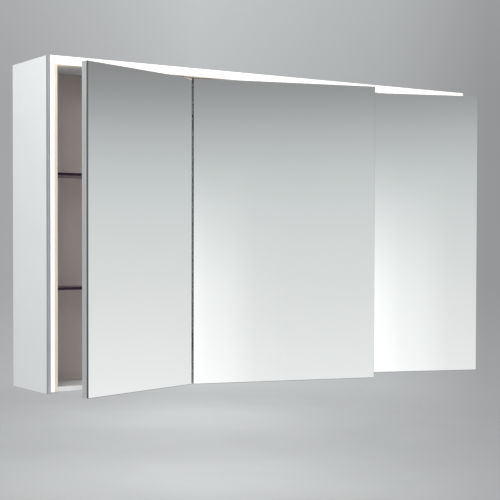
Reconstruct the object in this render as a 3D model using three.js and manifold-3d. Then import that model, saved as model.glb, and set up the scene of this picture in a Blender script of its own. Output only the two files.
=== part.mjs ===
// Three-door mirror cabinet for a bathroom wall, with a light frame round its front.
//
// Millimetres. +X runs along the width to the viewer's right, +Y runs into the wall and +Z is up.
// The origin is the middle of the top hanging rail's rear face, on the wall plane.
// The doors stand ajar at rest: each door is built closed, round its own hinge pin, and its
// group is then turned to the rest angle.

import * as THREE from 'three';
import { mergeVertices } from 'three/addons/utils/BufferGeometryUtils.js';
import Module from 'manifold-3d';

// ---------------------------------------------------------------- driving dimensions

const WIDTH = 1200;
const HEIGHT = 718; // of the carcass
const DOOR_OVERHANG = 2; // the doors reach below the carcass by a fingertip's grip
const DEPTH = 185;
const GAP = 0.3; // between pieces that touch
const OVERCUT = 1; // how far a cutting tool passes the face it cuts
const ROUND = 24; // sides of a round pin, knuckle or bore

const RAIL_DROP = 55; // hanging rail's centre line, below the cabinet's top
const TOP = RAIL_DROP;
const BOTTOM = TOP - HEIGHT;
const DOOR_FOOT = BOTTOM - DOOR_OVERHANG;
const FRONT = -DEPTH;
const WALL = 0;

const SIDE_BOARD = 16;
const TOP_BOARD = 16;
const BOTTOM_BOARD = 10;
const PARTITION_BOARD = 16;
const BACK_BOARD = 6;
const BOARD_SETBACK = 36; // front edges of the bottom board and the partitions
const BACK_SETBACK = 145; // front face of the back board
const RAIL_BOARD = 18;
const TOP_RAIL_HEIGHT = 76;
const BOTTOM_RAIL_HEIGHT = 60;

// Light frame: an aluminium channel with an opal cover, on both sides and along the top.
const LIGHT = {
  depth: 20,
  sideWidth: 22.5,
  topHeight: 19,
  flange: 6, // width of the solid outer edge on the sides
  flangeDepth: 8.5, // how far that edge reaches back along the side board
  wall: 1.5,
  cover: 2.5, // thickness of the opal cover
  inset: 2.8, // from the front plane to the metal behind the cover
  endCap: 4,
  stripWidth: 10,
  stripThickness: 1.2,
  stripEnd: 2, // short of the cover's end
};

// Doors, front to back: mirror, bonding pad, aluminium frame with a core board, rear mirror.
const DOOR = {
  recess: 12, // front mirror face, behind the front plane
  sideMargin: 25, // cabinet's side to the closed door
  topMargin: 20, // cabinet's top to the closed door
  gap: 8, // between neighbouring closed doors
  outerWidth: 339, // left and right doors
  mirror: 4,
  pad: 0.6,
  padInset: 2,
  frameDepth: 12.8,
  bar: 20, // frame bars at the free edge, top and bottom
  hingeBar: 26,
  lip: 6, // frame left standing round the rear mirror
  hingeLip: 18,
};
DOOR.height = TOP - DOOR.topMargin - DOOR_FOOT;
DOOR.middleWidth = WIDTH - 2 * DOOR.sideMargin - 2 * DOOR.outerWidth - 2 * DOOR.gap;
DOOR.frameFront = DOOR.mirror + 2 * GAP + DOOR.pad;
DOOR.thickness = DOOR.frameFront + DOOR.frameDepth;

const REST_ANGLE = { left: 19.3, middle: 14.4, right: 18.9 }; // degrees open

const HINGE = {
  edge: 10, // pin centre, from the door's edge
  behind: 8, // pin centre, behind the front mirror face
  pinRadius: 1.5,
  pinAnchor: 8, // how far the pin goes into the frame above and below the knuckle
  boreRadius: 1.8,
  knuckleRadius: 3.4,
  armWidth: 3,
  height: 30,
  notchHeight: 34,
  notchMargin: 1.1, // round the knuckle, inside the notch
  baseFront: 38, // from the front plane
  baseLength: 30,
  fromEnd: 100, // pin middle, from the door's top and bottom
};

const SHELF = { thickness: 6, front: 45, sideGap: 1.5, backGap: 1, heights: [219, 468] };

// A wall hanger's front, rear and hook face are counted back from the front plane.
const HANGER = { width: 50, height: 44, front: 158, rear: 176, hook: 3, hookDrop: 14, hookFace: 184.5 };
// The driver's and the terminal box's z are their top faces.
const DRIVER = { x: 40, z: -90, width: 190, height: 42, thickness: 22, lug: 14, lugThickness: 3 };
const TERMINAL = { z: -85, width: 84, height: 52, thickness: 24 };
const GLAND = { radius: 9, hexRadius: 11, hexHeight: 6, bodyHeight: 10, bore: 4.5, roundOff: 3 };
const LEAD = { radius: 2, sides: 8, step: 12, bend: 26, standOff: 1.5 };

// ---------------------------------------------------------------- materials

const material = (color, roughness, metalness, extra = {}) =>
  new THREE.MeshStandardMaterial({ color, roughness, metalness, ...extra });

const MATERIALS = {
  whiteLacquer: material(0xe9ebeb, 0.35, 0),
  greyLacquer: material(0x7c7875, 0.5, 0),
  aluminium: material(0xa9adb1, 0.38, 1),
  opal: material(0xfffdf6, 0.45, 0, { emissive: 0xfff8ec, emissiveIntensity: 1 }),
  circuit: material(0xf2f2ee, 0.5, 0),
  mirror: material(0xe6eaea, 0.03, 1),
  glass: material(0x39363c, 0.05, 0, { transparent: true, opacity: 0.45 }),
  blackFoam: material(0x1d1e20, 0.9, 0),
  coreBoard: material(0xb9a889, 0.8, 0),
  plainBoard: material(0xc9b798, 0.75, 0),
  steel: material(0xb4b6b8, 0.3, 1),
  zinc: material(0xbfc3c6, 0.42, 1),
  whitePlastic: material(0xeeeeec, 0.5, 0),
  greyPlastic: material(0x8b8f92, 0.55, 0),
};

// ---------------------------------------------------------------- shape helpers

const wasm = await Module();
wasm.setup();

// A closed box between two corners given per axis.
function block([x0, x1], [y0, y1], [z0, z1]) {
  const geometry = new THREE.BoxGeometry(x1 - x0, y1 - y0, z1 - z0);
  return geometry.translate((x0 + x1) / 2, (y0 + y1) / 2, (z0 + z1) / 2);
}

function outlineShape(points) {
  return new THREE.Shape(points.map(([u, v]) => new THREE.Vector2(u, v)));
}

// An outline in X and Y, carried up along Z.
function uprightPrism(shape, z0, z1) {
  const geometry = new THREE.ExtrudeGeometry(shape, { depth: z1 - z0, bevelEnabled: false });
  return geometry.translate(0, 0, z0);
}

// An outline in Y and Z, carried along X.
function lyingPrism(shape, x0, x1) {
  const geometry = new THREE.ExtrudeGeometry(shape, { depth: x1 - x0, bevelEnabled: false });
  const turn = new THREE.Matrix4().makeBasis(
    new THREE.Vector3(0, 1, 0),
    new THREE.Vector3(0, 0, 1),
    new THREE.Vector3(1, 0, 0),
  );
  return geometry.applyMatrix4(turn).translate(x0, 0, 0);
}

function uprightCylinder(radius, x, y, z0, z1) {
  const geometry = new THREE.CylinderGeometry(radius, radius, z1 - z0, ROUND);
  return geometry.rotateX(Math.PI / 2).translate(x, y, (z0 + z1) / 2);
}

// Turns a closed geometry into a manifold solid for joining and cutting.
function toSolid(geometry) {
  const bare = geometry.clone();
  bare.deleteAttribute('normal');
  bare.deleteAttribute('uv');
  const merged = mergeVertices(bare);
  return new wasm.Manifold(
    new wasm.Mesh({
      numProp: 3,
      vertProperties: new Float32Array(merged.attributes.position.array),
      triVerts: new Uint32Array(merged.index.array),
    }),
  );
}

function toGeometry(solid) {
  const mesh = solid.getMesh();
  const geometry = new THREE.BufferGeometry();
  geometry.setAttribute('position', new THREE.BufferAttribute(mesh.vertProperties, 3));
  geometry.setIndex(new THREE.BufferAttribute(mesh.triVerts, 1));
  geometry.computeVertexNormals();
  return geometry;
}

function cut(geometry, ...tools) {
  let solid = toSolid(geometry);
  for (const tool of tools) solid = solid.subtract(toSolid(tool));
  return toGeometry(solid);
}

function join(geometry, ...others) {
  let solid = toSolid(geometry);
  for (const other of others) solid = solid.add(toSolid(other));
  return toGeometry(solid);
}

const group = new THREE.Group();

function addPiece(name, geometry, surface, parent = group) {
  const mesh = new THREE.Mesh(geometry, surface);
  mesh.name = name;
  parent.add(mesh);
  return mesh;
}

// x of a point a given distance in from the cabinet's left or right side.
const fromSide = (side, inward) => side * (WIDTH / 2 - inward);
const SIDES = [
  ['left', -1],
  ['right', 1],
];
const ordered = (a, b) => [Math.min(a, b), Math.max(a, b)];

// ---------------------------------------------------------------- carcass

const INNER_HALF = WIDTH / 2 - SIDE_BOARD;
const DIVIDE = WIDTH / 2 - DOOR.sideMargin - DOOR.outerWidth - DOOR.gap / 2; // partition centre lines
const FLOOR = BOTTOM + BOTTOM_BOARD;
const CEILING = TOP - TOP_BOARD;

function addCarcass() {
  const { flange, flangeDepth, wall, depth } = LIGHT;
  for (const [name, side] of SIDES) {
    // The board is rebated in front, so that the light channel sits in it behind its outer flange.
    const rebate = flange - wall - GAP;
    const outline = [
      [0, flangeDepth + GAP],
      [rebate, flangeDepth + GAP],
      [rebate, depth + GAP],
      [SIDE_BOARD, depth + GAP],
      [SIDE_BOARD, DEPTH],
      [0, DEPTH],
    ].map(([inward, back]) => [fromSide(side, inward), FRONT + back]);
    addPiece(`side_panel_${name}`, uprightPrism(outlineShape(outline), BOTTOM, TOP), MATERIALS.whiteLacquer);

    const partitionX = side * DIVIDE;
    const partition = block(
      [partitionX - PARTITION_BOARD / 2, partitionX + PARTITION_BOARD / 2],
      [FRONT + BOARD_SETBACK, FRONT + BACK_SETBACK - GAP],
      [FLOOR + GAP, CEILING - GAP],
    );
    addPiece(`partition_${name}`, partition, MATERIALS.whiteLacquer);
  }

  const between = [-INNER_HALF + GAP, INNER_HALF - GAP];
  const topBoard = block(between, [FRONT + depth + GAP, WALL], [CEILING, TOP]);
  const bottomBoard = block(between, [FRONT + BOARD_SETBACK, WALL], [BOTTOM, FLOOR]);
  const backY = [FRONT + BACK_SETBACK, FRONT + BACK_SETBACK + BACK_BOARD];
  const backBoard = block(between, backY, [FLOOR + GAP, CEILING - GAP]);
  addPiece('top_panel', topBoard, MATERIALS.whiteLacquer);
  addPiece('bottom_panel', bottomBoard, MATERIALS.whiteLacquer);
  addPiece('back_panel', backBoard, MATERIALS.greyLacquer);
}

// ---------------------------------------------------------------- wall side

function addWallSide() {
  const railY = [WALL - RAIL_BOARD, WALL];
  const railEnd = INNER_HALF - 2 * GAP - HANGER.width;
  const topRail = block([-railEnd, railEnd], railY, [-TOP_RAIL_HEIGHT / 2, TOP_RAIL_HEIGHT / 2]);
  addPiece('hanging_rail_top', topRail, MATERIALS.plainBoard);

  const lowZ = FLOOR + GAP;
  const between = [-INNER_HALF + GAP, INNER_HALF - GAP];
  const bottomRail = block(between, railY, [lowZ, lowZ + BOTTOM_RAIL_HEIGHT]);
  addPiece('spacer_rail_bottom', bottomRail, MATERIALS.plainBoard);

  // A hanger is a steel block with a hook that drops behind a wall-fixed bar.
  const hangerTop = CEILING - 2 * GAP;
  const { front, rear, hook, hookDrop, hookFace, height, width } = HANGER;
  const outline = [
    [front, hangerTop - height],
    [rear, hangerTop - height],
    [rear, hangerTop - hook],
    [hookFace - hook, hangerTop - hook],
    [hookFace - hook, hangerTop - hookDrop],
    [hookFace, hangerTop - hookDrop],
    [hookFace, hangerTop],
    [front, hangerTop],
  ].map(([back, z]) => [FRONT + back, z]);
  for (const [name, side] of SIDES) {
    const ends = ordered(side * (INNER_HALF - GAP), side * (INNER_HALF - GAP - width));
    addPiece(`wall_hanger_${name}`, lyingPrism(outlineShape(outline), ...ends), MATERIALS.zinc);
  }
}

// ---------------------------------------------------------------- light frame

function addLightFrame() {
  const { depth, sideWidth, topHeight, flange, flangeDepth, wall, cover, inset } = LIGHT;
  const { endCap, stripWidth, stripThickness, stripEnd } = LIGHT;
  const cornerZ = TOP - topHeight - GAP; // the side covers stop below the top channel
  const coverStart = flange + GAP;
  const stripBack = [depth - wall - GAP - stripThickness, depth - wall - GAP];

  for (const [name, side] of SIDES) {
    const place = (points) =>
      outlineShape(points.map(([inward, back]) => [fromSide(side, inward), FRONT + back]));

    const trough = sideWidth - wall - 2 * GAP;
    const profile = place([
      [0, 0],
      [flange, 0],
      [flange, depth - wall],
      [trough, depth - wall],
      [trough, depth],
      [flange - wall, depth],
      [flange - wall, flangeDepth],
      [0, flangeDepth],
    ]);
    const corner = block(
      ordered(fromSide(side, flange), fromSide(side, sideWidth)),
      [FRONT, FRONT + depth + OVERCUT],
      [cornerZ, TOP + OVERCUT],
    );
    const channel = cut(uprightPrism(profile, BOTTOM, TOP), corner);
    addPiece(`light_profile_${name}`, channel, MATERIALS.aluminium);

    // The cover is L-shaped: the lit face in front, and a flank that faces the door's edge.
    const opal = place([
      [coverStart, 0],
      [sideWidth, 0],
      [sideWidth, depth],
      [sideWidth - wall, depth],
      [sideWidth - wall, cover],
      [coverStart, cover],
    ]);
    const coverFoot = BOTTOM + endCap + GAP;
    addPiece(`light_cover_${name}`, uprightPrism(opal, coverFoot, cornerZ), MATERIALS.opal);

    const middle = (coverStart + trough) / 2;
    const stripX = ordered(
      fromSide(side, middle - stripWidth / 2),
      fromSide(side, middle + stripWidth / 2),
    );
    const strip = block(
      stripX,
      [FRONT + stripBack[0], FRONT + stripBack[1]],
      [coverFoot + stripEnd, cornerZ - stripEnd],
    );
    addPiece(`led_strip_${name}`, strip, MATERIALS.circuit);

    const cap = block(
      ordered(fromSide(side, coverStart), fromSide(side, sideWidth)),
      [FRONT, FRONT + depth - wall - GAP],
      [BOTTOM, BOTTOM + endCap],
    );
    addPiece(`light_end_cap_${name}`, cap, MATERIALS.aluminium);
  }

  const reach = WIDTH / 2 - flange - GAP;
  const place = (points) => outlineShape(points.map(([back, down]) => [FRONT + back, TOP - down]));
  const topFoot = topHeight - wall - 2 * GAP;
  const topProfile = place([
    [inset, 0],
    [inset, wall],
    [depth - wall, wall],
    [depth - wall, topFoot],
    [depth, topFoot],
    [depth, 0],
  ]);
  const topCover = place([
    [0, 0],
    [cover, 0],
    [cover, topHeight - wall],
    [depth, topHeight - wall],
    [depth, topHeight],
    [0, topHeight],
  ]);
  addPiece('light_profile_top', lyingPrism(topProfile, -reach, reach), MATERIALS.aluminium);
  addPiece('light_cover_top', lyingPrism(topCover, -reach, reach), MATERIALS.opal);

  const stripZ = TOP - topHeight / 2;
  const strip = block(
    [stripEnd - reach, reach - stripEnd],
    [FRONT + stripBack[0], FRONT + stripBack[1]],
    [stripZ - stripWidth / 2, stripZ + stripWidth / 2],
  );
  addPiece('led_strip_top', strip, MATERIALS.circuit);
}

// ---------------------------------------------------------------- shelves

function addShelves() {
  const edge = DIVIDE + PARTITION_BOARD / 2;
  const innerEdge = DIVIDE - PARTITION_BOARD / 2;
  const bays = {
    left: [-INNER_HALF, -edge],
    middle: [-innerEdge, innerEdge],
    right: [edge, INNER_HALF],
  };
  const backY = FRONT + BACK_SETBACK - SHELF.backGap;
  for (const [bay, [x0, x1]] of Object.entries(bays)) {
    SHELF.heights.forEach((height, index) => {
      const z = BOTTOM + height;
      const shelf = block(
        [x0 + SHELF.sideGap, x1 - SHELF.sideGap],
        [FRONT + SHELF.front, backY],
        [z, z + SHELF.thickness],
      );
      addPiece(`shelf_${bay}_${['lower', 'upper'][index]}`, shelf, MATERIALS.glass);
    });
  }
}

// ---------------------------------------------------------------- doors and hinges

// Each door: its width, its hinge edge when closed, and which way its free edge lies from there.
const doorEdge = WIDTH / 2 - DOOR.sideMargin - DOOR.outerWidth;
const DOORS = {
  left: { width: DOOR.outerWidth, hingeX: -doorEdge, towardFree: -1 },
  middle: { width: DOOR.middleWidth, hingeX: -doorEdge + DOOR.gap, towardFree: 1 },
  right: { width: DOOR.outerWidth, hingeX: doorEdge, towardFree: 1 },
};
const HINGE_HEIGHTS = {
  lower: DOOR_FOOT + HINGE.fromEnd,
  upper: DOOR_FOOT + DOOR.height - HINGE.fromEnd,
};

function addDoor(name, { width, hingeX, towardFree }) {
  const pinY = FRONT + DOOR.recess + HINGE.behind;
  const pivot = new THREE.Group();
  pivot.position.set(hingeX + towardFree * HINGE.edge, pinY, 0);
  pivot.rotation.z = -towardFree * THREE.MathUtils.degToRad(REST_ANGLE[name]);
  group.add(pivot);

  // In the pivot's own frame: along() counts from the hinge edge, deep() from the mirror face.
  const along = (a, b) => ordered(towardFree * (a - HINGE.edge), towardFree * (b - HINGE.edge));
  const deep = (a, b) => [a - HINGE.behind, b - HINGE.behind];
  const up = (a, b) => [DOOR_FOOT + a, DOOR_FOOT + b];
  const { mirror, pad, padInset, frameFront, thickness, height, bar, hingeBar, lip, hingeLip } = DOOR;

  const front = block(along(0, width), deep(0, mirror), up(0, height));
  addPiece(`${name}_door_mirror_front`, front, MATERIALS.mirror, pivot);

  const bondingPad = block(
    along(hingeLip, width - padInset),
    deep(mirror + GAP, mirror + GAP + pad),
    up(padInset, height - padInset),
  );
  addPiece(`${name}_door_bonding_pad`, bondingPad, MATERIALS.blackFoam, pivot);

  const rebateDepth = mirror + GAP;
  const frameTools = [
    block(along(hingeBar, width - bar), deep(0, thickness + OVERCUT), up(bar, height - bar)),
    block(
      along(hingeLip, width - lip),
      deep(thickness - rebateDepth, thickness + OVERCUT),
      up(lip, height - lip),
    ),
  ];
  for (const z of Object.values(HINGE_HEIGHTS)) {
    const notchWidth = HINGE.edge + HINGE.knuckleRadius + HINGE.notchMargin;
    const half = HINGE.notchHeight / 2;
    const anchor = half + HINGE.pinAnchor + GAP;
    frameTools.push(
      block(along(-OVERCUT, notchWidth), deep(0, thickness + OVERCUT), [z - half, z + half]),
      uprightCylinder(HINGE.boreRadius, 0, 0, z - anchor, z + anchor),
    );
  }
  const frame = cut(block(along(0, width), deep(frameFront, thickness), up(0, height)), ...frameTools);
  addPiece(`${name}_door_frame`, frame, MATERIALS.aluminium, pivot);

  const core = block(
    along(hingeBar + GAP, width - bar - GAP),
    deep(frameFront, thickness - rebateDepth - GAP),
    up(bar + GAP, height - bar - GAP),
  );
  addPiece(`${name}_door_core`, core, MATERIALS.coreBoard, pivot);

  const rear = block(
    along(hingeLip + GAP, width - lip - GAP),
    deep(thickness - mirror, thickness),
    up(lip + GAP, height - lip - GAP),
  );
  addPiece(`${name}_door_mirror_rear`, rear, MATERIALS.mirror, pivot);

  for (const [place, z] of Object.entries(HINGE_HEIGHTS)) {
    const half = HINGE.notchHeight / 2 + HINGE.pinAnchor;
    const pin = uprightCylinder(HINGE.pinRadius, 0, 0, z - half, z + half);
    addPiece(`${name}_hinge_pin_${place}`, pin, MATERIALS.steel, pivot);
  }
}

// The fixed half of a hinge: a base screwed to the partition, an arm and a knuckle round the pin.
function addHingeBrackets(name, { hingeX, towardFree }) {
  const pinX = hingeX + towardFree * HINGE.edge;
  const pinY = FRONT + DOOR.recess + HINGE.behind;
  const faceX = hingeX - towardFree * (DOOR.gap / 2 - PARTITION_BOARD / 2 - GAP);
  const halfArm = HINGE.armWidth / 2;
  const farX = pinX + towardFree * halfArm;
  const nearX = pinX - towardFree * halfArm;
  const base = block(
    ordered(faceX, farX),
    [FRONT + HINGE.baseFront, FRONT + HINGE.baseFront + HINGE.baseLength],
    [0, HINGE.height],
  );
  const arm = block(
    ordered(nearX, farX),
    [pinY, FRONT + HINGE.baseFront + OVERCUT],
    [0, HINGE.height],
  );
  const knuckle = uprightCylinder(HINGE.knuckleRadius, pinX, pinY, 0, HINGE.height);
  const bore = uprightCylinder(HINGE.boreRadius, pinX, pinY, -OVERCUT, HINGE.height + OVERCUT);
  const bracket = cut(join(base, arm, knuckle), bore);
  for (const [place, z] of Object.entries(HINGE_HEIGHTS)) {
    const mesh = addPiece(`${name}_hinge_bracket_${place}`, bracket.clone(), MATERIALS.zinc);
    mesh.position.z = z - HINGE.height / 2;
  }
}

// ---------------------------------------------------------------- electrical parts

function addElectrics() {
  const backFace = FRONT + BACK_SETBACK + BACK_BOARD + GAP;

  const { x, z, width, height, thickness, lug, lugThickness } = DRIVER;
  const body = block([x, x + width], [backFace, backFace + thickness], [z - height, z]);
  const lugs = block([x - lug, x + width + lug], [backFace, backFace + lugThickness], [z - height, z]);
  addPiece('led_driver', join(body, lugs), MATERIALS.whitePlastic);

  // The terminal box for the mains lead sits against the driver's primary end.
  const box = { ...TERMINAL, x: x - lug - GAP - TERMINAL.width / 2 };
  const terminal = block(
    [box.x - box.width / 2, box.x + box.width / 2],
    [backFace, backFace + box.thickness],
    [box.z - box.height, box.z],
  );
  addPiece('terminal_box', terminal, MATERIALS.greyPlastic);

  // The mains lead enters through a gland that points down from the terminal box.
  const { radius, hexRadius, hexHeight, bodyHeight, bore, roundOff } = GLAND;
  const foot = -hexHeight - bodyHeight;
  const glandBody = new THREE.LatheGeometry(
    [
      [bore, 0],
      [bore, foot],
      [radius - roundOff, foot],
      [radius, foot + roundOff],
      [radius, 0],
      [bore, 0],
    ].map(([r, h]) => new THREE.Vector2(r, h)),
    ROUND,
  );
  const hexagon = new THREE.CylinderGeometry(hexRadius, hexRadius, hexHeight, 6);
  hexagon.translate(0, -hexHeight / 2, 0);
  const passage = new THREE.CylinderGeometry(bore, bore, 2 * (hexHeight + OVERCUT), ROUND);
  const gland = join(glandBody, cut(hexagon, passage));
  gland.rotateX(Math.PI / 2);
  gland.translate(box.x, backFace + box.thickness / 2, box.z - box.height - GAP);
  addPiece('cable_gland', gland, MATERIALS.greyPlastic);

  // Two low-voltage leads leave the driver's other end and run along the back board to the side
  // boards, where a groove takes each one on to its light channel.
  const leadY = backFace + LEAD.standOff + LEAD.radius;
  const exitY = backFace + thickness / 2;
  const exitX = x + width + GAP;
  const clearX = exitX + lug + LEAD.bend;
  const wallX = INNER_HALF - GAP;
  const highZ = z - height / 3;
  const lowExitZ = z - (2 * height) / 3;
  const lowZ = z - height - LEAD.bend;
  addLead('low_voltage_lead_right', [
    [exitX, exitY, highZ],
    [exitX + lug, exitY, highZ],
    [clearX, leadY, highZ],
    [clearX + LEAD.bend, leadY, highZ],
    [wallX - LEAD.bend, leadY, highZ],
    [wallX, leadY, highZ],
  ]);
  addLead('low_voltage_lead_left', [
    [exitX, exitY, lowExitZ],
    [exitX + lug, exitY, lowExitZ],
    [clearX, (exitY + leadY) / 2, (lowExitZ + lowZ) / 2],
    [exitX + lug, leadY, lowZ],
    [exitX - LEAD.bend, leadY, lowZ],
    [-wallX + LEAD.bend, leadY, lowZ],
    [-wallX, leadY, lowZ],
  ]);
}

function addLead(name, points) {
  const vectors = points.map((point) => new THREE.Vector3(...point));
  const path = new THREE.CatmullRomCurve3(vectors, false, 'centripetal');
  const section = outlineShape(
    Array.from({ length: LEAD.sides }, (_, index) => {
      const angle = (index * 2 * Math.PI) / LEAD.sides;
      return [LEAD.radius * Math.cos(angle), LEAD.radius * Math.sin(angle)];
    }),
  );
  const steps = Math.round(path.getLength() / LEAD.step);
  addPiece(name, new THREE.ExtrudeGeometry(section, { steps, extrudePath: path }), MATERIALS.whitePlastic);
}

// ---------------------------------------------------------------- assembly

addCarcass();
addWallSide();
addLightFrame();
addShelves();
for (const [name, door] of Object.entries(DOORS)) {
  addDoor(name, door);
  addHingeBrackets(name, door);
}
addElectrics();

export default group;
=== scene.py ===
"""The looks of the three-door mirror cabinet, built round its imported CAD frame.

Metres. +X runs to the viewer's right, +Y into the wall and +Z up, as in the CAD.
"""

import math

import bmesh
import bpy
from mathutils import Matrix, Quaternion, Vector


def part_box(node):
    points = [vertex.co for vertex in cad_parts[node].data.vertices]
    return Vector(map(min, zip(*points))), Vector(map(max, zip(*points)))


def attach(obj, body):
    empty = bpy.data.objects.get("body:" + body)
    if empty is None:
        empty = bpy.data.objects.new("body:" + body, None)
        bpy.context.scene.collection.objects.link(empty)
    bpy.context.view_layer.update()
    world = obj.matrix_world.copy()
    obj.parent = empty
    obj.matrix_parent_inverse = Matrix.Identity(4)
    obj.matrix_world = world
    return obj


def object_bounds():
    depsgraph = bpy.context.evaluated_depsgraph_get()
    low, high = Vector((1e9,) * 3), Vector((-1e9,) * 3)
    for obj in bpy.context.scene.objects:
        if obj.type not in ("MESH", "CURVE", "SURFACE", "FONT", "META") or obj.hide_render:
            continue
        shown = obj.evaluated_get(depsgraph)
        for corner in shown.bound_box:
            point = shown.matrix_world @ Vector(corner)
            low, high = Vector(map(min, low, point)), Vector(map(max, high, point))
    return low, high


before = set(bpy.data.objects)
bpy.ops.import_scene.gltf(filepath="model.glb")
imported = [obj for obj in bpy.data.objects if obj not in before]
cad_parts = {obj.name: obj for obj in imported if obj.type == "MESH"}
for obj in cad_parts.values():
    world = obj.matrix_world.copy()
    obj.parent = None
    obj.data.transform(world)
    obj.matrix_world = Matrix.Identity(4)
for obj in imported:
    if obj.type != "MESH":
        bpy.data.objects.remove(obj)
CAD_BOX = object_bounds()

SCENE = bpy.context.scene
MM = 0.001

DOORS = ("left", "middle", "right")
SIDES = (("left", -1), ("right", 1))

LEFT_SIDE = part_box("side_panel_left")[0].x
RIGHT_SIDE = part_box("side_panel_right")[1].x
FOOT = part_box("side_panel_left")[0].z
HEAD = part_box("side_panel_left")[1].z
FRONT_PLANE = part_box("light_profile_left")[0].y

DIODE_PITCH = 16.6  # millimetres between the diodes on a strip


# ---------------------------------------------------------------- node helpers


def node(tree, kind, inputs=None, **settings):
    """A new node. An input is set to a value, or linked if it is another node's output."""
    made = tree.nodes.new(kind)
    for key, value in settings.items():
        setattr(made, key, value)
    for key, value in (inputs or {}).items():
        if isinstance(value, bpy.types.NodeSocket):
            tree.links.new(value, made.inputs[key])
        else:
            made.inputs[key].default_value = value
    return made


def calc(tree, operation, first, second=0.0, clamp=False):
    """The result of one Math node."""
    inputs = {0: first, 1: second}
    made = node(tree, "ShaderNodeMath", inputs, operation=operation, use_clamp=clamp)
    return made.outputs[0]


def spread(tree, value, start, end, low=0.0, high=1.0, smooth=False):
    """value taken from the range start..end to low..high, and held at its ends."""
    kind = "SMOOTHSTEP" if smooth else "LINEAR"
    inputs = {"Value": value, "From Min": start, "From Max": end, "To Min": low, "To Max": high}
    return node(tree, "ShaderNodeMapRange", inputs, interpolation_type=kind).outputs["Result"]


def ramp(tree, factor, stops):
    """A colour along factor. stops are (position, colour), where a colour may be one grey."""
    made = node(tree, "ShaderNodeValToRGB", {"Fac": factor})
    elements = made.color_ramp.elements
    while len(elements) < len(stops):
        elements.new(0.5)
    for element, (position, colour) in zip(elements, stops):
        element.position = position
        element.color = rgba(colour)
    return made.outputs["Color"]


def rgba(colour):
    """A linear colour with alpha, from three numbers or from one grey."""
    if isinstance(colour, (int, float)):
        colour = (colour,) * 3
    return (*colour, 1.0)


def tint(tree, factor, first, second, blend="MIX"):
    """Two colours mixed by factor."""
    made = node(tree, "ShaderNodeMix", {"Factor": factor}, data_type="RGBA", blend_type=blend)
    for socket, value in ((made.inputs[6], first), (made.inputs[7], second)):
        if isinstance(value, bpy.types.NodeSocket):
            tree.links.new(value, socket)
        else:
            socket.default_value = rgba(value)
    return made.outputs[2]


def own_coordinates(tree, stretch=(1, 1, 1)):
    """The piece's own coordinates in metres, times stretch."""
    place = node(tree, "ShaderNodeTexCoord").outputs["Object"]
    return node(tree, "ShaderNodeMapping", {"Vector": place, "Scale": stretch}).outputs[0]


def own_axes(tree):
    """x, y and z of the piece's own coordinates, in metres."""
    place = node(tree, "ShaderNodeTexCoord").outputs["Object"]
    return node(tree, "ShaderNodeSeparateXYZ", {0: place}).outputs


def noise(tree, scale, detail=2.0, roughness=0.5, stretch=(1, 1, 1)):
    """Noise of scale cells a metre."""
    inputs = {
        "Vector": own_coordinates(tree, stretch),
        "Scale": scale,
        "Detail": detail,
        "Roughness": roughness,
    }
    return node(tree, "ShaderNodeTexNoise", inputs).outputs["Fac"]


def bump(tree, height, strength, depth):
    """A normal from a height. depth is in metres."""
    inputs = {"Height": height, "Strength": strength, "Distance": depth}
    return node(tree, "ShaderNodeBump", inputs).outputs["Normal"]


def look(name, **sockets):
    """A material with one Principled shader. Returns it with its tree and a setter of sockets."""
    material = bpy.data.materials.new(name)
    material.use_nodes = True
    tree = material.node_tree
    tree.nodes.clear()
    shader = node(tree, "ShaderNodeBsdfPrincipled")
    output = node(tree, "ShaderNodeOutputMaterial")
    tree.links.new(shader.outputs[0], output.inputs[0])

    def put(**values):
        for key, value in values.items():
            socket = shader.inputs[key.replace("_", " ")]
            if isinstance(value, bpy.types.NodeSocket):
                tree.links.new(value, socket)
            elif isinstance(value, tuple):
                socket.default_value = rgba(value)
            else:
                socket.default_value = value

    put(**sockets)
    return material, tree, put


# ---------------------------------------------------------------- materials


def lacquer(name, colour, shade, roughness, speck=0.0):
    """Sprayed satin lacquer: faint clouding, orange peel, and optional fine specks."""
    material, tree, put = look(name)
    clouds = noise(tree, 9, 3)
    base = tint(tree, spread(tree, clouds, 0.35, 0.65), colour, shade)
    if speck:
        grains = noise(tree, 2400, 2)
        base = tint(tree, spread(tree, grains, 0.35, 0.7, 0, speck), base, 0.9)
    peel = noise(tree, 900, 3, 0.6)
    put(
        Base_Color=base,
        Roughness=spread(tree, noise(tree, 60, 4), 0.3, 0.7, roughness - 0.04, roughness + 0.05),
        Normal=bump(tree, peel, 0.12, 0.15 * MM),
        IOR=1.5,
    )
    return material


def brushed_metal(name, colour, roughness, along, metallic=1.0):
    """Drawn and anodised metal: fine streaks along one axis, and slow changes of tone."""
    material, tree, put = look(name)
    stretch = tuple(0.012 if axis == along else 1.0 for axis in "xyz")
    streaks = noise(tree, 1600, 3, 0.7, stretch)
    clouds = noise(tree, 7, 2)
    tone = tint(tree, spread(tree, streaks, 0.3, 0.7), tuple(0.88 * c for c in colour), colour)
    tone = tint(tree, spread(tree, clouds, 0.3, 0.7, 0, 0.25), tone, tuple(0.8 * c for c in colour))
    put(
        Base_Color=tone,
        Metallic=metallic,
        Roughness=spread(tree, streaks, 0.25, 0.75, roughness - 0.06, roughness + 0.08),
        Normal=bump(tree, streaks, 0.1, 0.05 * MM),
    )
    return material


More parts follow.
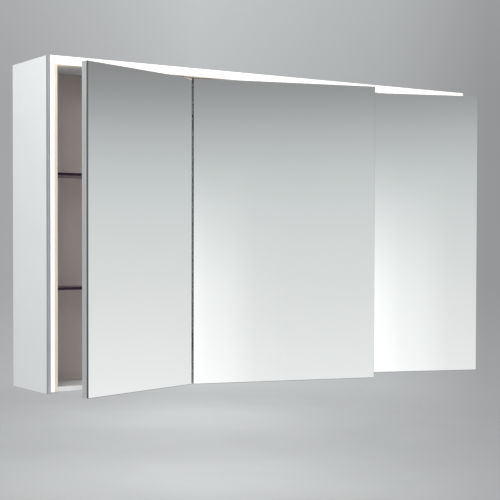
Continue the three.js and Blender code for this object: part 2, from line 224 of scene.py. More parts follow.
def galvanised(name):
    """Zinc plate: small crystals of two greys, a cloudy bloom and a lightly grained surface."""
    material, tree, put = look(name)
    crystals = node(
        tree,
        "ShaderNodeTexVoronoi",
        {"Vector": own_coordinates(tree), "Scale": 420, "Randomness": 1.0},
    ).outputs["Color"]
    facet = node(tree, "ShaderNodeSeparateColor", {0: crystals}).outputs[0]
    tone = tint(tree, facet, (0.55, 0.57, 0.59), (0.68, 0.70, 0.72))
    bloom = noise(tree, 55, 4)
    put(
        Base_Color=tint(tree, spread(tree, bloom, 0.4, 0.7, 0, 0.45), tone, (0.5, 0.5, 0.5)),
        Metallic=1.0,
        Roughness=spread(tree, bloom, 0.3, 0.7, 0.3, 0.5),
        Normal=bump(tree, facet, 0.1, 0.04 * MM),
    )
    return material


def nickel(name, roughness=0.22):
    """Plated steel with turning marks and a little dulling."""
    material, tree, put = look(name)
    marks = noise(tree, 2600, 2, 0.5, (1, 1, 6))
    dull = noise(tree, 160, 3)
    put(
        Base_Color=tint(tree, spread(tree, dull, 0.35, 0.7), (0.72, 0.71, 0.69), (0.58, 0.57, 0.55)),
        Metallic=1.0,
        Roughness=spread(tree, dull, 0.3, 0.7, roughness - 0.05, roughness + 0.1),
        Normal=bump(tree, marks, 0.06, 0.03 * MM),
    )
    return material


def moulded(name, colour, roughness=0.45, grain=1100, coarse=0.12):
    """Moulded plastic: spark-eroded grain, flow marks and a slightly uneven tone."""
    material, tree, put = look(name)
    flow = noise(tree, 22, 3, 0.5, (1, 1, 0.3))
    darker = tuple(0.9 * c for c in colour)
    put(
        Base_Color=tint(tree, spread(tree, flow, 0.3, 0.7), colour, darker),
        Roughness=spread(tree, flow, 0.3, 0.7, roughness - 0.04, roughness + 0.06),
        Normal=bump(tree, noise(tree, grain, 2), coarse, 0.1 * MM),
        IOR=1.49,
    )
    return material


OPAL = {
    "side_painted_falloff": (13.4, 15.4),  # where a side strip turns to its painted fall-off, millimetres in from the side
    "top_painted_falloff": (2.2, 0.7),  # and the top strip, millimetres above its foot
    "white": 0.55,  # emission of the lit face, of its painted fall-off to a dim cream edge and of the flank behind it
    "painted_falloff": 0.09,
    "flank": 4.6,
}


def opal_side():
    """Opal acrylic of a side strip: lit white over the strip, with a painted fall-off to a dim
    creamy tint along its inner edge.
    """
    material, tree, put = look("opal_acrylic_side")
    x, y, z = own_axes(tree)
    inward = calc(tree, "SUBTRACT", (RIGHT_SIDE - LEFT_SIDE) / 2, calc(tree, "ABSOLUTE", x))
    start, end = OPAL["side_painted_falloff"]
    # painted shade: the strip's glow is painted to fall off towards its inner edge
    painted_falloff = spread(tree, inward, start * MM, end * MM, smooth=True)
    flank = spread(tree, y, FRONT_PLANE + 2 * MM, FRONT_PLANE + 5 * MM)
    return finish_opal(material, tree, put, painted_falloff, z, flank)


def opal_top():
    """Opal acrylic of the top strip: lit white in front, with a painted fall-off to a dim creamy
    tint on the underside.
    """
    material, tree, put = look("opal_acrylic_top")
    x, y, z = own_axes(tree)
    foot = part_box("light_cover_top")[0].z
    start, end = OPAL["top_painted_falloff"]
    # painted shade: the strip's glow is painted to fall off on its underside
    painted_falloff = spread(tree, z, foot + start * MM, foot + end * MM, smooth=True)
    flank = spread(tree, y, FRONT_PLANE + 24 * MM, FRONT_PLANE + 26 * MM)
    return finish_opal(material, tree, put, painted_falloff, x, flank)


def finish_opal(material, tree, put, painted_falloff, along, flank):
    """The shared part of the covers. The light fades a little between the diodes, the glow is
    painted dimmer and creamy at the fall-off edge, and the flank behind the front lights the inside."""
    pitch = 2 * math.pi / (DIODE_PITCH * MM)
    wave = calc(tree, "SINE", calc(tree, "MULTIPLY", along, pitch))
    ripple = spread(tree, wave, -1, 1, 0.97, 1.0)
    haze = noise(tree, 260, 2)
    white = tint(tree, haze, (0.83, 0.82, 0.80), (0.86, 0.85, 0.83))
    # painted shade: emission drops from the white face to the dim, painted fall-off edge
    glow = spread(tree, painted_falloff, 0, 1, OPAL["white"], OPAL["painted_falloff"])
    glow = calc(tree, "ADD", glow, calc(tree, "MULTIPLY", flank, OPAL["flank"]))
    put(
        # painted shade: the base turns creamy where the glow is painted to fall off
        Base_Color=tint(tree, painted_falloff, white, (0.74, 0.655, 0.56)),
        Emission_Color=(1.0, 0.975, 0.93),
        Emission_Strength=calc(tree, "MULTIPLY", ripple, glow),
        Roughness=spread(tree, haze, 0.3, 0.7, 0.3, 0.38),
        IOR=1.49,
        Normal=bump(tree, noise(tree, 1400, 2), 0.05, 0.05 * MM),
    )
    return material


def mirror(name, facing):
    """Silvered float glass. facing is the door's outward normal. The glass's sides are dark, and
    so is its rounding, except where it turns up or to the right and a painted highlight lightens it."""
    material, tree, put = look(name)
    normal = node(tree, "ShaderNodeTexCoord").outputs["Normal"]
    turned = node(tree, "ShaderNodeVectorMath", {0: normal, 1: facing}, operation="DOT_PRODUCT")
    flat = calc(tree, "ABSOLUTE", turned.outputs["Value"])
    silver = spread(tree, flat, 0.96, 0.985)
    x, _, z = node(tree, "ShaderNodeSeparateXYZ", {0: normal}).outputs
    # painted highlight: rounding that faces up or to the right is painted lighter, as if lit
    lit = spread(tree, calc(tree, "ADD", calc(tree, "MULTIPLY", x, 0.7), z), 0.2, 0.5)
    painted_chamfer_highlight = calc(tree, "MULTIPLY", spread(tree, flat, 0.3, 0.6), lit)
    film = noise(tree, 3.2, 3)
    glass = tint(tree, spread(tree, film, 0.35, 0.65), (0.905, 0.916, 0.913), (0.89, 0.903, 0.90))
    # the light grey of the painted highlight on the rounding; the glass's dark sides stay dark
    ground = tint(tree, noise(tree, 300, 2), (0.42, 0.435, 0.43), (0.50, 0.515, 0.51))
    edge = tint(tree, painted_chamfer_highlight, (0.075, 0.08, 0.08), ground)
    put(
        Base_Color=tint(tree, silver, edge, glass),
        Metallic=silver,
        Roughness=spread(tree, silver, 0, 1, 0.16, 0.012),
        Normal=bump(tree, noise(tree, 5.5, 1), 0.02, 0.05 * MM),
        IOR=1.52,
    )
    return material


def shelf_glass():
    """Grey float glass: clear through its face, dark along its polished edges."""
    material, tree, put = look("shelf_glass")
    normal = node(tree, "ShaderNodeTexCoord").outputs["Normal"]
    upright = node(tree, "ShaderNodeSeparateXYZ", {0: normal}).outputs["Z"]
    face = spread(tree, calc(tree, "ABSOLUTE", upright), 0.6, 0.9)
    smear = noise(tree, 24, 4)
    put(
        Base_Color=tint(tree, face, (0.020, 0.012, 0.022), (0.62, 0.60, 0.63)),
        Transmission_Weight=calc(tree, "MULTIPLY", face, 0.93),
        Alpha=spread(tree, face, 0, 1, 1.0, 0.45),
        Roughness=spread(tree, smear, 0.4, 0.75, 0.02, 0.07),
        IOR=1.52,
        Normal=bump(tree, noise(tree, 8, 1), 0.02, 0.05 * MM),
    )
    return material


def foam():
    """Black bonding foam: closed cells with a dull skin."""
    material, tree, put = look("bonding_foam")
    cells = node(
        tree, "ShaderNodeTexVoronoi", {"Vector": own_coordinates(tree), "Scale": 2600}
    ).outputs["Distance"]
    put(
        Base_Color=tint(tree, cells, (0.010, 0.010, 0.011), (0.030, 0.030, 0.032)),
        Roughness=spread(tree, cells, 0, 0.6, 0.95, 0.75),
        Normal=bump(tree, cells, 0.6, 0.2 * MM),
    )
    return material


def board(name, pale, dark, along="x"):
    """Plain timber board: long grain, pores and a planed surface."""
    material, tree, put = look(name)
    stretch = tuple(0.05 if axis == along else 1.0 for axis in "xyz")
    grain = noise(tree, 90, 6, 0.65, stretch)
    rings = node(
        tree,
        "ShaderNodeTexWave",
        {
            "Vector": own_coordinates(tree, stretch),
            "Scale": 26,
            "Distortion": 9,
            "Detail": 3,
            "Detail Scale": 1.4,
        },
        bands_direction="Z",
    ).outputs["Fac"]
    figure = calc(tree, "MULTIPLY", grain, spread(tree, rings, 0, 1, 0.7, 1.25))
    pores = noise(tree, 1500, 2, 0.5, stretch)
    base = tint(tree, spread(tree, figure, 0.3, 0.75), pale, dark)
    put(
        Base_Color=tint(tree, spread(tree, pores, 0.58, 0.75, 0, 0.5), base, dark),
        Roughness=spread(tree, grain, 0.3, 0.7, 0.6, 0.78),
        Normal=bump(tree, pores, 0.35, 0.12 * MM),
    )
    return material


def circuit():
    """White circuit strip: printed lacquer with copper pads at each cutting line."""
    material, tree, put = look("circuit_strip")
    x, _, z = own_axes(tree)
    along = calc(tree, "ADD", x, z)
    cell = calc(tree, "FRACT", calc(tree, "DIVIDE", along, 50 * MM))
    from_line = calc(tree, "ABSOLUTE", calc(tree, "SUBTRACT", cell, 0.5))
    pad = calc(tree, "LESS_THAN", from_line, 0.035)
    put(
        Base_Color=tint(tree, pad, (0.84, 0.84, 0.80), (0.72, 0.42, 0.22)),
        Metallic=pad,
        Roughness=spread(tree, noise(tree, 500, 2), 0.3, 0.7, 0.32, 0.5),
        Normal=bump(tree, pad, 0.3, 0.05 * MM),
    )
    return material


def diode():
    """Warm phosphor of a light-emitting diode, its glow varying a little over its face."""
    material, tree, put = look("diode")
    put(
        Base_Color=tint(tree, noise(tree, 900, 2), (0.86, 0.66, 0.24), (0.90, 0.74, 0.34)),
        Emission_Color=(1.0, 0.93, 0.82),
        Emission_Strength=spread(tree, noise(tree, 300, 1), 0.3, 0.7, 1.6, 2.0),
        Roughness=0.4,
    )
    return material


def silicone():
    """Clear silicone of the door buffers."""
    material, tree, put = look("clear_silicone")
    put(
        Base_Color=tint(tree, noise(tree, 120, 2), (0.80, 0.81, 0.80), (0.88, 0.89, 0.88)),
        Transmission_Weight=0.8,
        Roughness=spread(tree, noise(tree, 300, 2), 0.3, 0.7, 0.2, 0.34),
        IOR=1.41,
    )
    return material


def door_normal(door):
    """The way a door's mirror faces at rest: through its glass, from rear to front."""
    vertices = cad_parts[f"{door}_door_mirror_front"].data.vertices
    corners = sorted({(round(v.co.x, 7), round(v.co.y, 7)) for v in vertices})
    front, rear = sorted(corners[:2], key=lambda corner: corner[1])
    return Vector((front[0] - rear[0], front[1] - rear[1], 0)).normalized()


WHITE_LACQUER = lacquer("white_lacquer", (0.80, 0.815, 0.812), (0.775, 0.79, 0.787), 0.36)
GREY_LACQUER = lacquer("grey_lacquer", (0.44, 0.39, 0.375), (0.41, 0.365, 0.35), 0.5, speck=0.10)
ALUMINIUM_UP = brushed_metal("anodised_aluminium_up", (0.60, 0.605, 0.62), 0.42, "z", 0.75)
ALUMINIUM_ACROSS = brushed_metal("anodised_aluminium_across", (0.60, 0.605, 0.62), 0.42, "x", 0.75)
DOOR_ALUMINIUM = brushed_metal("door_aluminium", (0.79, 0.80, 0.805), 0.38, "z", 0.8)
ZINC = galvanised("zinc_plate")
NICKEL = nickel("hinge_steel")
FOAM = foam()
CORE_BOARD = board("door_core_board", (0.50, 0.39, 0.26), (0.36, 0.27, 0.17), "z")
PLAIN_BOARD = board("plain_board", (0.62, 0.48, 0.32), (0.44, 0.31, 0.18))
CIRCUIT = circuit()
DIODE = diode()
GLASS = shelf_glass()
OPAL_SIDE = opal_side()
OPAL_TOP = opal_top()
WHITE_PLASTIC = moulded("driver_plastic", (0.80, 0.80, 0.78))
GREY_PLASTIC = moulded("terminal_plastic", (0.26, 0.275, 0.285), 0.5, 900, 0.2)
INSULATION = moulded("lead_insulation", (0.74, 0.74, 0.72), 0.38, 600, 0.05)
SEAL_RUBBER = moulded("seal_rubber", (0.03, 0.03, 0.03), 0.7, 1500, 0.3)
SILICONE = silicone()


# ---------------------------------------------------------------- CAD nodes

# Slot name: (material, edge rounding in millimetres).
FINISHES = {
    "white_lacquer": (WHITE_LACQUER, 0.5),
    "grey_lacquer": (GREY_LACQUER, 0.3),
    "plain_board": (PLAIN_BOARD, 0.6),
    "zinc_plate": (ZINC, 0.3),
    "anodised_aluminium": (ALUMINIUM_UP, 0.25),
    "door_aluminium": (DOOR_ALUMINIUM, 0.25),
    "opal_acrylic": (OPAL_SIDE, 0.4),
    "circuit_strip": (CIRCUIT, 0.1),
    "mirror_glass": (None, 1.0),
    "shelf_glass": (GLASS, 0.6),
    "bonding_foam": (FOAM, 0.0),
    "door_core_board": (CORE_BOARD, 0.2),
    "hinge_steel": (NICKEL, 0.2),
    "driver_plastic": (WHITE_PLASTIC, 1.2),
    "terminal_plastic": (GREY_PLASTIC, 0.8),
    "lead_insulation": (INSULATION, 0.0),
}
SAME_POINT = 0.00001
SHARP = math.radians(32)


def round_edges(piece, width):
    """Joins the coinciding corners of a piece and rounds its sharp edges."""
    weld = piece.modifiers.new("weld", "WELD")
    weld.merge_threshold = SAME_POINT
    if width:
        bevel = piece.modifiers.new("bevel", "BEVEL")
        bevel.width = width * MM
        bevel.segments = 2
        bevel.limit_method = "ANGLE"
        bevel.angle_limit = SHARP
        flat = piece.modifiers.new("flat", "WEIGHTED_NORMAL")
        flat.mode = "FACE_AREA"
        flat.weight = 100


def dress_frame():
    """Gives every CAD node its material and rounded edges."""
    special = {
        "light_profile_top": ALUMINIUM_ACROSS,
        "light_cover_top": OPAL_TOP,
    }
    for door in DOORS:
        glass = mirror(f"mirror_glass_{door}", door_normal(door))
        special[f"{door}_door_mirror_front"] = glass
        special[f"{door}_door_mirror_rear"] = glass
    for name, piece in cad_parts.items():
        slot = piece.data.materials[0].name.split(".")[0]
        material, width = FINISHES[slot]
        piece.material_slots[0].link = "OBJECT"
        piece.material_slots[0].material = special.get(name, material)
        round_edges(piece, width)


# ---------------------------------------------------------------- mesh helpers


def piece_from(name, build, material, smooth=SHARP):
    """A new object whose mesh the function build fills."""
    mesh = bpy.data.meshes.new(name)
    bm = bmesh.new()
    build(bm)
    bmesh.ops.recalc_face_normals(bm, faces=bm.faces)
    for edge in bm.edges:
        edge.smooth = len(edge.link_faces) == 2 and edge.calc_face_angle() < smooth
    for face in bm.faces:
        face.smooth = True
    bm.to_mesh(mesh)
    bm.free()
    mesh.materials.append(material)
    piece = bpy.data.objects.new(name, mesh)
    SCENE.collection.objects.link(piece)
    return piece


def copy_of(piece, name):
    """Another object with the same mesh."""
    twin = bpy.data.objects.new(name, piece.data)
    SCENE.collection.objects.link(twin)
    return twin


def settle(piece, place, axis, body):
    """Puts a piece with its own +Z along axis, and gives it a body to ride."""
    turn = Vector(axis).to_track_quat("Z", "Y")
    piece.matrix_world = Matrix.LocRotScale(Vector(place), turn, None)
    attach(piece, body)
    return piece


def stack(bm, rings):
    """Closed skin over rings of equal length, from the first to the last, with flat ends."""
    rows = [[bm.verts.new(point) for point in ring] for ring in rings]
    count = len(rows[0])
    for lower, upper in zip(rows, rows[1:]):
        for i in range(count):
            j = (i + 1) % count
            bm.faces.new((lower[i], lower[j], upper[j], upper[i]))
    bm.faces.new(list(reversed(rows[0])))
    bm.faces.new(rows[-1])


def ring(height, radius_at, count=32):
    """Points round +Z at a height. radius_at gives the radius at an angle."""
    angles = [2 * math.pi * (i + 0.5) / count for i in range(count)]
    return [
        (radius_at(a) * math.cos(a), radius_at(a) * math.sin(a), height) for a in angles
    ]


def circle(radius):
    """A radius that is the same at every angle."""
    return lambda angle: radius


def cross(reach, half_width):
    """Outline of a driver's cross recess."""

    def radius_at(angle):
        c, s = abs(math.cos(angle)), abs(math.sin(angle))
        lying = min(reach / max(c, 1e-6), half_width / max(s, 1e-6))
        standing = min(reach / max(s, 1e-6), half_width / max(c, 1e-6))
        return max(lying, standing)

    return radius_at


def turned(profile, count=24):
    """A builder for a turned solid. profile is (radius, height) pairs in millimetres."""

    def build(bm):
        stack(bm, [ring(h * MM, circle(r * MM), count) for r, h in profile])

    return build


def pan_screw(radius, height):
    """A builder for a pan head with a cross recess. It stands on its seat at height 0."""

    def build(bm):
        top = height * MM
        outer = radius * MM
        recess = cross(0.56 * outer, 0.13 * outer)
        floor = cross(0.30 * outer, 0.09 * outer)
        stack(
            bm,
            [
                ring(0, circle(outer)),
                ring(0.45 * top, circle(outer)),
                ring(0.82 * top, circle(0.9 * outer)),
                ring(top, circle(0.7 * outer)),
                ring(top, recess),
                ring(0.35 * top, floor),
            ],
        )

    return build


def slab(bm, low, high):
    """A closed box between two corners, in metres."""
    corners = [
        Vector((x, y, z))
        for z in (low[2], high[2])
        for x, y in ((low[0], low[1]), (high[0], low[1]), (high[0], high[1]), (low[0], high[1]))
    ]
    v = [bm.verts.new(c) for c in corners]
    for face in ((0, 3, 2, 1), (4, 5, 6, 7), (0, 1, 5, 4), (1, 2, 6, 5), (2, 3, 7, 6), (3, 0, 4, 7)):
        bm.faces.new([v[i] for i in face])


# ---------------------------------------------------------------- shelf pins

PIN = {"radius": 2.5, "clearance": 0.15, "wall_gap": 1.5, "from_front": 24, "from_back": 22}
PIN_PROFILE = [(4.4, 0), (4.4, 0.9), (3.8, 1.3), (2.5, 1.5), (2.5, 8.4), (2.0, 9.0)]


def add_shelf_pins():
    """Four nickel pins with a collar carry each glass shelf."""
    pin = None
    wall_gap = PIN["wall_gap"] * MM
    for bay in DOORS:
        for level in ("lower", "upper"):
            low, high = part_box(f"shelf_{bay}_{level}")
            under = low.z - (PIN["radius"] + PIN["clearance"]) * MM
            depths = (low.y + PIN["from_front"] * MM, high.y - PIN["from_back"] * MM)
            ends = (("left", low.x - wall_gap, 1), ("right", high.x + wall_gap, -1))
            for side, x, inward in ends:
                for row, y in zip(("front", "back"), depths):
                    name = f"shelf_pin_{bay}_{level}_{side}_{row}"
                    if pin is None:
                        pin = piece_from(name, turned(PIN_PROFILE), NICKEL)
                        here = pin
                    else:
                        here = copy_of(pin, name)
                    settle(here, (x, y, under), (inward, 0, 0), "case")


# ---------------------------------------------------------------- screws

# Head radius and height of each kind, in millimetres.
SCREWS = {"hinge": (3.5, 1.6), "lug": (3.6, 1.8), "lid": (2.6, 1.2), "hanger": (4.4, 2.2)}
FIRST_SCREWS = {}


def add_screw(kind, name, place, axis):
    """One pan-head screw in the case. Screws of a kind share a mesh."""
    if kind in FIRST_SCREWS:
        screw = copy_of(FIRST_SCREWS[kind], name)
    else:
        screw = piece_from(name, pan_screw(*SCREWS[kind]), ZINC)
        FIRST_SCREWS[kind] = screw
    settle(screw, place, axis, "case")


def add_hinge_screws():
    """Two screws hold each hinge base to its partition."""
    for door in DOORS:
        for level in ("lower", "upper"):
            low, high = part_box(f"{door}_hinge_bracket_{level}")
            out = 1 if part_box(f"{door}_hinge_pin_{level}")[0].x > low.x + 4 * MM else -1
            face = high.x if out > 0 else low.x
            middle = (low.z + high.z) / 2
            depth = high.y - 13 * MM
            for step, word in ((-8.5, "low"), (8.5, "high")):
                place = (face, depth, middle + step * MM)
                add_screw("hinge", f"hinge_screw_{door}_{level}_{word}", place, (out, 0, 0))


def add_hanger_screws():
    """Two screws hold each wall hanger to the cabinet."""
    for side, sign in SIDES:
        low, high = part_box(f"wall_hanger_{side}")
        face = high.y - 8.5 * MM
        for step, word in ((-13, "inner"), (13, "outer")):
            x = (low.x + high.x) / 2 + step * MM
            place = (x, face, low.z + 15 * MM)
            add_screw("hanger", f"hanger_screw_{side}_{word}", place, (0, 1, 0))


# ---------------------------------------------------------------- electrical details


def add_driver_details():
    """End covers over the driver's terminals, and a screw through each lug."""
    low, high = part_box("led_driver")
    lug = 14 * MM
    cover = 30 * MM
    proud = 0.9 * MM
    body = (low.x + lug, high.x - lug)
    lug_face = low.y + 3 * MM
    middle = (low.z + high.z) / 2
    spans = {"primary": (body[0], body[0] + cover), "secondary": (body[1] - cover, body[1])}
    for name, (x0, x1) in spans.items():

        def build(bm):
            seat = (x0 + proud, high.y - MM, low.z + proud)
            slab(bm, seat, (x1, high.y + proud, high.z - proud))

        piece = piece_from(f"driver_cover_{name}", build, WHITE_PLASTIC)
        round_edges(piece, 0.6)
        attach(piece, "case")
        inner = x1 - 8 * MM if name == "primary" else x0 + 8 * MM
        add_screw("lid", f"driver_cover_screw_{name}", (inner, high.y + proud, middle), (0, 1, 0))
    for name, x in (("left", low.x + lug / 2), ("right", high.x - lug / 2)):
        add_screw("lug", f"driver_lug_screw_{name}", (x, lug_face, middle), (0, 1, 0))


def add_terminal_lid():
    """The terminal box's lid with a screw at each corner."""
    low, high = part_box("terminal_box")
    inset = 1.2 * MM
    thick = 2.0 * MM

    def build(bm):
        seat = (low.x + inset, high.y - MM, low.z + inset)
        slab(bm, seat, (high.x - inset, high.y + thick, high.z - inset))

    lid = piece_from("terminal_lid", build, GREY_PLASTIC)
    round_edges(lid, 1.0)
    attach(lid, "case")
    corner = 6.5 * MM
    for i, x in enumerate((low.x + corner, high.x - corner)):
        for j, z in enumerate((low.z + corner, high.z - corner)):
            add_screw("lid", f"terminal_screw_{i}{j}", (x, high.y + thick, z), (0, 1, 0))


def add_gland_seal():
    """The rubber seal inside the gland's mouth."""
    low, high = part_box("cable_gland")
    centre = (low + high) / 2

    def build(bm):
        outer, inner, height, count = 4.4 * MM, 3.0 * MM, 5 * MM, 24
        rings = [
            ring(0, circle(outer), count),
            ring(height, circle(outer), count),
            ring(height, circle(inner), count),
            ring(0, circle(inner), count),
        ]
        rows = [[bm.verts.new(p) for p in r] for r in rings]
        for lower, upper in zip(rows, rows[1:] + rows[:1]):
            for i in range(count):
                j = (i + 1) % count
                bm.faces.new((lower[i], lower[j], upper[j], upper[i]))

    seal = piece_from("gland_seal", build, SEAL_RUBBER)
    settle(seal, (centre.x, centre.y, low.z + 0.6 * MM), (0, 0, 1), "case")


def add_lead_clips():
    """Saddle clips hold the low-voltage leads to the back board."""
    board_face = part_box("back_panel")[1].y
    lead = {side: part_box(f"low_voltage_lead_{side}") for side in ("left", "right")}
    radius = 2 * MM
    stand = 1.8 * MM
    inner = radius + 0.15 * MM
    thick = 0.9 * MM
    foot = 5 * MM
    width = 6 * MM

    def build(bm):
        """The clip's section in its own X and Z, carried along Y. Its foot is at height 0."""
        steps = 10
        arc = [math.pi * i / steps for i in range(steps + 1)]
        rise = stand + radius
        outer = inner + thick
        outside = [(outer * math.cos(a), rise + outer * math.sin(a)) for a in arc]
        inside = [(inner * math.cos(a), rise + inner * math.sin(a)) for a in reversed(arc)]
        sole = [(outer + foot, 0), (outer + foot, thick), (outer, thick)]
        section = sole + outside + [(-outer, 0), (-inner, 0)] + inside + [(inner, 0)]
        stack(bm, [[(x, y, z) for x, z in section] for y in (-width / 2, width / 2)])

    first = None
    spots = []
    for x in (-480, -320, -160, 0, 160):
        spots.append(("left", x * MM, lead["left"][0].z + radius))
    for x in (340, 440, 540):
        spots.append(("right", x * MM, lead["right"][0].z + radius))
    for number, (side, x, z) in enumerate(spots):
        name = f"lead_clip_{side}_{number}"
        if first is None:
            first = piece_from(name, build, WHITE_PLASTIC)
            clip = first
        else:
            clip = copy_of(first, name)
        # The clip's own X stands up here and its own Z points away from the board.
        turn = Matrix(((0, -1, 0), (0, 0, 1), (-1, 0, 0))).to_4x4()
        clip.matrix_world = Matrix.Translation((x, board_face, z)) @ turn
        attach(clip, "case")
        nail = (x, board_face + thick, z - inner - thick - foot / 2)
        add_screw("lid", f"lead_clip_pin_{side}_{number}", nail, (0, 1, 0))


def add_diodes():
    """Rows of diodes on the three circuit strips."""
    side = 2.8 * MM
    proud = 0.7 * MM
    pitch = DIODE_PITCH * MM
    for name, axis in (("left", 2), ("right", 2), ("top", 0)):
        low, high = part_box(f"led_strip_{name}")
        length = high[axis] - low[axis]
        count = int(length / pitch)
        start = low[axis] + (length - (count - 1) * pitch) / 2
        centre = (low + high) / 2

        def build(bm):
            half = Vector((side / 2, 0, side / 2))
            for i in range(count):
                place = Vector((centre.x, low.y, centre.z))
                place[axis] = start + i * pitch
                slab(bm, place - half - Vector((0, proud, 0)), place + half)

        row = piece_from(f"diodes_{name}", build, DIODE)
        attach(row, "case")


# ---------------------------------------------------------------- door details


def add_door_buffers():
    """A clear buffer on each door's rear face meets the bottom board's front edge."""
    profile = [(4.0, 0), (4.0, 3.2), (3.6, 4.5), (2.6, 5.2), (1.2, 5.4)]
    first = None
    board_middle = sum(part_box("bottom_panel")[i].z for i in (0, 1)) / 2
    for door in DOORS:
        normal = door_normal(door)
        corners = [v.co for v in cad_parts[f"{door}_door_frame"].data.vertices]
        rear = max(corners, key=lambda c: -c.dot(normal))
        depth = rear.dot(normal)
        across = Vector((0, 0, 1)).cross(normal)
        pin = sum(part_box(f"{door}_hinge_pin_lower"), Vector()) / 2
        reach = [c.dot(across) for c in corners]
        near, far = min(reach), max(reach)
        free = far if abs(far - pin.dot(across)) > abs(near - pin.dot(across)) else near
        inward = -1 if free == far else 1
        place = across * (free + inward * 24 * MM) + normal * depth
        place.z = board_middle
        name = f"door_buffer_{door}"
        if first is None:
            first = piece_from(name, turned(profile, 28), SILICONE)
            buffer = first
        else:
            buffer = copy_of(first, name)
        settle(buffer, place, -normal, f"{door}_door")


# ---------------------------------------------------------------- camera, light and floor

# Where the camera stands: left of the cabinet, in front of it and above its foot.
CAMERA = {
    "left": 1.0938,
    "front": 2.3627,
    "above": 0.3167,
    "yaw": 32.637,  # degrees to the right of straight at the wall
    "pitch": -1.394,
    "roll": 0.082,
    "lens": 87.79,
    "shift": (0.07, 0.05),
}


def add_camera():
    """The camera at the photograph's viewing angle."""
    data = bpy.data.cameras.new("camera")
    data.lens = CAMERA["lens"]
    data.sensor_width = 36
    data.shift_x, data.shift_y = CAMERA["shift"]
    camera = bpy.data.objects.new("camera", data)
    SCENE.collection.objects.link(camera)
    yaw, pitch, roll = (math.radians(CAMERA[k]) for k in ("yaw", "pitch", "roll"))
    level = math.cos(pitch)
    ahead = Vector((math.sin(yaw) * level, math.cos(yaw) * level, math.sin(pitch)))
    turn = ahead.to_track_quat("-Z", "Y") @ Quaternion((0, 0, 1), roll)
    camera.rotation_mode = "QUATERNION"
    camera.rotation_quaternion = turn
    camera.location = (
        LEFT_SIDE - CAMERA["left"],
        FRONT_PLANE - CAMERA["front"],
        FOOT + CAMERA["above"],
    )
    SCENE.camera = camera


# In front, from below the horizon to above it: the mirrors show this sweep.
SWEEP = [
    (0.0, (0.98, 0.985, 0.985)),
    (0.17, (0.87, 0.88, 0.88)),
    (0.35, (0.77, 0.785, 0.78)),
    (0.53, (0.67, 0.695, 0.695)),
    (0.61, (0.60, 0.625, 0.625)),
    (0.70, (0.49, 0.505, 0.51)),
    (0.79, (0.34, 0.347, 0.35)),
    (0.84, (0.285, 0.29, 0.293)),
    (1.0, (0.20, 0.205, 0.21)),
]
# A glow straight in front of the cabinet, from left to right.
GLOW = [
    (0.0, 0.0),
    (0.35, 0.10),
    (0.60, 0.27),
    (0.72, 0.31),
    (0.75, 0.26),
    (0.78, 0.18),
    (0.82, 0.14),
    (0.875, 0.03),
    (0.95, 0.0),
]
# Behind, from left to right.
BEHIND = [
    (0.0, (0.33, 0.335, 0.345)),
    (0.16, (0.37, 0.378, 0.388)),
    (0.40, (0.50, 0.515, 0.52)),
    (0.70, (0.40, 0.412, 0.42)),
    (0.88, (0.30, 0.305, 0.31)),
    (1.0, (0.29, 0.293, 0.30)),
]
# Behind, from below the horizon to above it.
BEHIND_UP = [(0.0, 1.0), (0.2, 0.98), (0.42, 0.81), (0.8, 0.79), (1.0, 0.88)]
BEHIND_STRENGTH = 1.26
DOME = (0.95, 0.955, 0.96)


def add_world():
    """A studio that darkens upwards in front, where the mirrors look, and stays grey behind."""
    world = bpy.data.worlds.new("studio")
    world.use_nodes = True
    SCENE.world = world
    tree = world.node_tree
    tree.nodes.clear()
    direction = node(tree, "ShaderNodeTexCoord").outputs["Generated"]
    x, y, z = node(tree, "ShaderNodeSeparateXYZ", {0: direction}).outputs

    sweep = ramp(tree, spread(tree, z, -0.16, 0.20), SWEEP)
    ahead = calc(tree, "MAXIMUM", calc(tree, "MULTIPLY", y, -1.0), 0.05)
    glow = ramp(tree, spread(tree, calc(tree, "DIVIDE", x, ahead), -0.25, 0.15), GLOW)
    glow = tint(tree, 1.0, glow, spread(tree, z, 0.09, -0.05, smooth=True), "MULTIPLY")
    front = tint(tree, 1.0, sweep, glow, "ADD")
    ground = spread(tree, z, -0.50, -0.17, 0.55, 1.0, smooth=True)
    front = tint(tree, 1.0, front, ground, "MULTIPLY")

    behind = calc(tree, "MAXIMUM", y, 0.05)
    across = ramp(tree, spread(tree, calc(tree, "DIVIDE", x, behind), 0.30, 1.10), BEHIND)
    lift = ramp(tree, spread(tree, z, -0.20, 0.20), BEHIND_UP)
    back = tint(tree, 1.0, across, lift, "MULTIPLY")
    back = tint(tree, 1.0, back, BEHIND_STRENGTH, "MULTIPLY")

    around = tint(tree, spread(tree, y, -0.12, 0.12, smooth=True), front, back)
    dome = tint(tree, spread(tree, z, 0.24, 0.5, smooth=True), around, DOME)
    surface = node(tree, "ShaderNodeBackground", {"Color": dome, "Strength": 1.0})
    output = node(tree, "ShaderNodeOutputWorld")
    tree.links.new(surface.outputs[0], output.inputs[0])


def add_softbox(name, place, target, size, power):
    """A rectangular light in watts, turned to a target."""
    data = bpy.data.lights.new(name, "AREA")
    data.shape = "RECTANGLE"
    data.size, data.size_y = size
    data.energy = power
    light = bpy.data.objects.new(name, data)
    SCENE.collection.objects.link(light)
    light.location = place
    light.rotation_mode = "QUATERNION"
    light.rotation_quaternion = (Vector(target) - Vector(place)).to_track_quat("-Z", "Y")


# Where the two patches of floor light are: name, x, y and power.
FLOOR_LIGHTS = (("near", 0.4, 0.75, 8.8), ("far", 1.2, 2.15, 8.6))
FLOOR_LIGHT_HEIGHT = 1.0


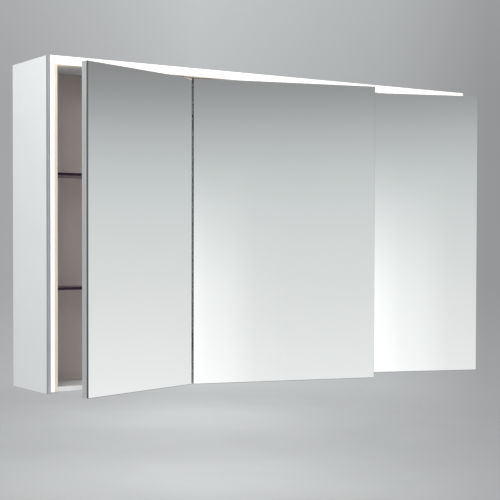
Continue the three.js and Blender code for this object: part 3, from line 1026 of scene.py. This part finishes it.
def add_lights():
    """A near key at the upper left, soft front and top lights, and a lit patch of floor behind."""
    centre = (CAD_BOX[0] + CAD_BOX[1]) / 2
    side = Vector((LEFT_SIDE, FRONT_PLANE / 2, HEAD))
    add_softbox("softbox_key", (-1.35, -0.75, 0.7), side, (0.5, 0.5), 9.3)
    add_softbox("softbox_front", (-2.0, -2.5, 0.9), centre, (0.9, 0.9), 18)
    add_softbox("softbox_top", (0.6, -1.6, 2.2), centre, (1.8, 1.2), 10)
    floor = FOOT - FLOOR["drop"]
    for name, x, y, power in FLOOR_LIGHTS:
        place = (x, y, floor + FLOOR_LIGHT_HEIGHT)
        add_softbox(f"softbox_floor_{name}", place, (x, y, floor), (0.4, 0.4), power)


# Metres: how far under the cabinet, its radius, where it starts to fade and its centre.
FLOOR = {"drop": 0.45, "radius": 2.6, "fade": 0.6, "centre": (0.5, 1.5)}
FLOOR_RINGS = 24
FLOOR_SIDES = 96


def add_floor():
    """A pale round floor that fades out at its rim."""
    material, tree, put = look("studio_floor")
    x, y, _ = own_axes(tree)
    square = calc(tree, "ADD", calc(tree, "POWER", x, 2), calc(tree, "POWER", y, 2))
    away = calc(tree, "SQRT", square)
    mottle = spread(tree, noise(tree, 3, 4), 0.3, 0.7)
    put(
        Base_Color=tint(tree, mottle, (0.345, 0.353, 0.356), (0.325, 0.333, 0.336)),
        Roughness=0.9,
        Alpha=spread(tree, away, FLOOR["fade"], FLOOR["radius"], 1, 0, smooth=True),
    )

    def build(bm):
        rows = []
        for i in range(1, FLOOR_RINGS + 1):
            radius = FLOOR["radius"] * i / FLOOR_RINGS
            rows.append([bm.verts.new(p) for p in ring(0, circle(radius), FLOOR_SIDES)])
        bm.faces.new(rows[0])
        for inner, outer in zip(rows, rows[1:]):
            for i in range(FLOOR_SIDES):
                j = (i + 1) % FLOOR_SIDES
                bm.faces.new((inner[i], inner[j], outer[j], outer[i]))

    floor = piece_from("floor", build, material)
    floor.location = (*FLOOR["centre"], FOOT - FLOOR["drop"])


# ---------------------------------------------------------------- scene

add_camera()
add_world()
add_lights()
add_floor()
dress_frame()
add_shelf_pins()
add_hinge_screws()
add_hanger_screws()
add_driver_details()
add_terminal_lid()
add_gland_seal()
add_lead_clips()
add_diodes()
add_door_buffers()

SCENE.view_settings.view_transform = "Standard"
